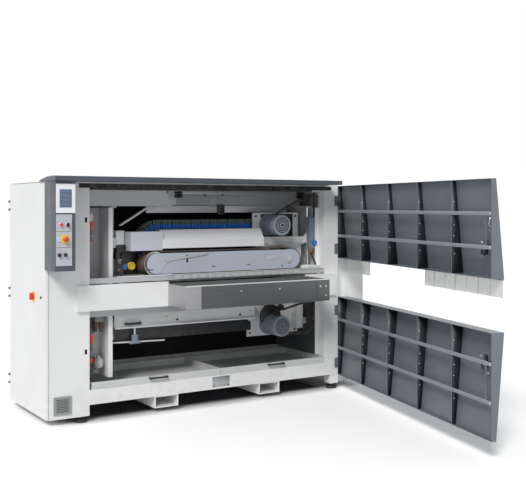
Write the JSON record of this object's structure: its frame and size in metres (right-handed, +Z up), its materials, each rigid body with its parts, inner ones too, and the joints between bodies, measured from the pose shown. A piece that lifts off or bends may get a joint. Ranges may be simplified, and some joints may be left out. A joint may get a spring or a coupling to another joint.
{
  "type": "deburring machine",
  "caption": "Wide feed-through deburring machine with swung-open front doors, control panel, sanding and brush belts, feed tables and dust trays.",
  "frame": {"origin": "centre of the bounding box, on the floor under the levelling feet", "axes": "+X to the right along the front, +Y to the back, +Z up"},
  "size_m": [3.222, 3.8485, 1.9883],
  "materials": {
    "body_white": "powder coated, fine orange peel",
    "door_slate": "powder coated, satin",
    "frame_grey": "painted, satin",
    "stainless": "brushed",
    "steel": "ground steel",
    "motor_blue_grey": "machine enamel",
    "black_plastic": "fine grained",
    "grey_plastic": "fine grained",
    "screen_glass": "smooth",
    "signal_red": "smooth",
    "lamp_white": "smooth",
    "belt_grey": "fabric-backed belt",
    "sanding_cloth": "coated abrasive cloth",
    "brush_blue": "abrasive fibre",
    "strip_clear": "frosted flexible strip",
    "foot_black": "moulded",
    "pulley_grey": "turned",
    "cable_black": "sheath"
  },
  "bodies": {
    "machine_body": {"frame_posts": "body_white", "frame_rails": "body_white", "fork_pockets": "frame_grey", "machine_feet": "foot_black", "cabinet_shell": "body_white", "electrical_gear": "grey_plastic", "filter_fan": "grey_plastic", "panel_housing": "door_slate", "hmi_bezel": "grey_plastic", "hmi_screen": "screen_glass", "button_plate": "grey_plastic", "visor": "door_slate", "body_panels": "body_white", "side_housing": "body_white", "inner_walls": "body_white", "beam_covers": "body_white", "conveyor_frame": "frame_grey", "conveyor_apron": "stainless", "feed_belts": "belt_grey", "machining_frame": "frame_grey", "guide_columns": "steel", "exhaust_duct": "frame_grey", "interlock_switches": "signal_red", "door_hinges": "motor_blue_grey", "pneumatic_unit": "grey_plastic", "lower_unit": "body_white", "lower_motor": "motor_blue_grey", "junction_box": "body_white", "power_cables": "cable_black", "fasteners": "steel", "motor_cable": "cable_black"},
    "cabinet_door": {"cabinet_door": "body_white"},
    "main_switch": {"main_switch_knob": "signal_red"},
    "cabinet_lock": {"cabinet_lock": "black_plastic"},
    "start_button": {"start_button": "signal_red"},
    "lamp_button": {"lamp_button": "lamp_white"},
    "estop_button": {"estop_button": "signal_red"},
    "mode_selector": {"mode_selector": "black_plastic"},
    "feed_speed_knob": {"feed_speed_knob": "grey_plastic"},
    "belt_speed_knob": {"belt_speed_knob": "black_plastic"},
    "infeed_front_roller": {"infeed_front_roller": "steel"},
    "infeed_rear_roller": {"infeed_rear_roller": "steel"},
    "outfeed_front_roller": {"outfeed_front_roller": "steel"},
    "outfeed_rear_roller": {"outfeed_rear_roller": "steel"},
    "upper_unit": {"unit_frame": "body_white", "unit_cover": "motor_blue_grey", "sanding_belt": "sanding_cloth", "dust_hood": "stainless", "upper_motor": "motor_blue_grey", "brush_belt": "brush_blue"},
    "left_pulley": {"left_pulley": "pulley_grey"},
    "right_pulley": {"right_pulley": "pulley_grey"},
    "tension_lever": {"tension_lever": "stainless"},
    "left_tray": {"left_tray": "frame_grey"},
    "right_tray": {"right_tray": "frame_grey"},
    "upper_door": {"upper_door": "door_slate", "strip_curtain": "strip_clear"},
    "lower_door": {"lower_door": "door_slate"},
    "upper_latch": {"upper_latch": "black_plastic"},
    "lower_latch": {"lower_latch": "black_plastic"}
  },
  "joints": [
    {"name": "upper_door_hinge", "type": "hinge", "parent": "machine_body", "child": "upper_door", "pos_m": [1.301, 0.64777, 1.5], "axis": [0, 0, 1], "range_deg": [-76.5, 40]},
    {"name": "lower_door_hinge", "type": "hinge", "parent": "machine_body", "child": "lower_door", "pos_m": [1.301, 0.64777, 0.5], "axis": [0, 0, 1], "range_deg": [-76.5, 40]},
    {"name": "upper_latch_turn", "type": "hinge", "parent": "upper_door", "child": "upper_latch", "pos_m": [0.70478, -1.80995, 1.4669], "axis": [-0.9724, 0.2334, 0], "range_deg": [0, 90]},
    {"name": "lower_latch_turn", "type": "hinge", "parent": "lower_door", "child": "lower_latch", "pos_m": [0.70478, -1.80995, 0.66595], "axis": [-0.9724, 0.2334, 0], "range_deg": [0, 90]},
    {"name": "cabinet_door_hinge", "type": "hinge", "parent": "machine_body", "child": "cabinet_door", "pos_m": [-1.585, 1.62377, 1], "axis": [0, 0, -1], "range_deg": [0, 115]},
    {"name": "main_switch_turn", "type": "hinge", "parent": "cabinet_door", "child": "main_switch", "pos_m": [-1.576, 0.97377, 1.013], "axis": [-1, 0, 0], "range_deg": [0, 90]},
    {"name": "cabinet_lock_turn", "type": "hinge", "parent": "cabinet_door", "child": "cabinet_lock", "pos_m": [-1.576, 0.78777, 1.018], "axis": [1, 0, 0], "range_deg": [0, 90]},
    {"name": "start_press", "type": "slide", "parent": "machine_body", "child": "start_button", "axis": [0, 1, 0], "range_m": [0, 0.004], "stiffness_N_per_m": 800},
    {"name": "lamp_press", "type": "slide", "parent": "machine_body", "child": "lamp_button", "axis": [0, 1, 0], "range_m": [0, 0.004], "stiffness_N_per_m": 800},
    {"name": "estop_press", "type": "slide", "parent": "machine_body", "child": "estop_button", "axis": [0, 1, 0], "range_m": [0, 0.005], "stiffness_N_per_m": 1500},
    {"name": "mode_selector_turn", "type": "hinge", "parent": "machine_body", "child": "mode_selector", "pos_m": [-1.481, 0.43577, 1.606], "axis": [0, 1, 0], "range_deg": [-45, 45]},
    {"name": "feed_speed_turn", "type": "hinge", "parent": "machine_body", "child": "feed_speed_knob", "pos_m": [-1.55, 0.43577, 1.374], "axis": [0, 1, 0], "range_deg": [-135, 135]},
    {"name": "belt_speed_turn", "type": "hinge", "parent": "machine_body", "child": "belt_speed_knob", "pos_m": [-1.502, 0.43577, 1.374], "axis": [0, 1, 0], "range_deg": [-135, 135]},
    {"name": "unit_height", "type": "slide", "parent": "machine_body", "child": "upper_unit", "axis": [0, 0, 1], "range_m": [-0.04, 0.03], "deforming": ["motor_cable"]},
    {"name": "left_pulley_spin", "type": "hinge", "parent": "upper_unit", "child": "left_pulley", "pos_m": [-0.596, 0.80377, 1.258], "axis": [0, 1, 0], "continuous": true},
    {"name": "right_pulley_spin", "type": "hinge", "parent": "upper_unit", "child": "right_pulley", "pos_m": [0.804, 0.80377, 1.258], "axis": [0, 1, 0], "continuous": true},
    {"name": "tension_lever_turn", "type": "hinge", "parent": "upper_unit", "child": "tension_lever", "pos_m": [-0.495, 0.70377, 1.286], "axis": [0, -1, 0], "range_deg": [0, 60]},
    {"name": "left_tray_slide", "type": "slide", "parent": "machine_body", "child": "left_tray", "axis": [0, -1, 0], "range_m": [0, 0.56]},
    {"name": "right_tray_slide", "type": "slide", "parent": "machine_body", "child": "right_tray", "axis": [0, -1, 0], "range_m": [0, 0.56]},
    {"name": "infeed_front_spin", "type": "hinge", "parent": "machine_body", "child": "infeed_front_roller", "pos_m": [-0.076, 0.37177, 1.043], "axis": [-1, 0, 0], "continuous": true},
    {"name": "infeed_rear_spin", "type": "hinge", "parent": "machine_body", "child": "infeed_rear_roller", "pos_m": [-0.076, 0.63377, 1.043], "axis": [-1, 0, 0], "continuous": true},
    {"name": "outfeed_front_spin", "type": "hinge", "parent": "machine_body", "child": "outfeed_front_roller", "pos_m": [-0.076, 1.22177, 1.043], "axis": [-1, 0, 0], "continuous": true},
    {"name": "outfeed_rear_spin", "type": "hinge", "parent": "machine_body", "child": "outfeed_rear_roller", "pos_m": [-0.076, 1.86577, 1.043], "axis": [-1, 0, 0], "continuous": true}
  ],
  "couplings": [
    {"joint": "right_pulley_spin", "follows": "left_pulley_spin", "ratio": 1},
    {"joint": "infeed_rear_spin", "follows": "infeed_front_spin", "ratio": 1},
    {"joint": "outfeed_front_spin", "follows": "infeed_front_spin", "ratio": 1},
    {"joint": "outfeed_rear_spin", "follows": "infeed_front_spin", "ratio": 1}
  ]
}
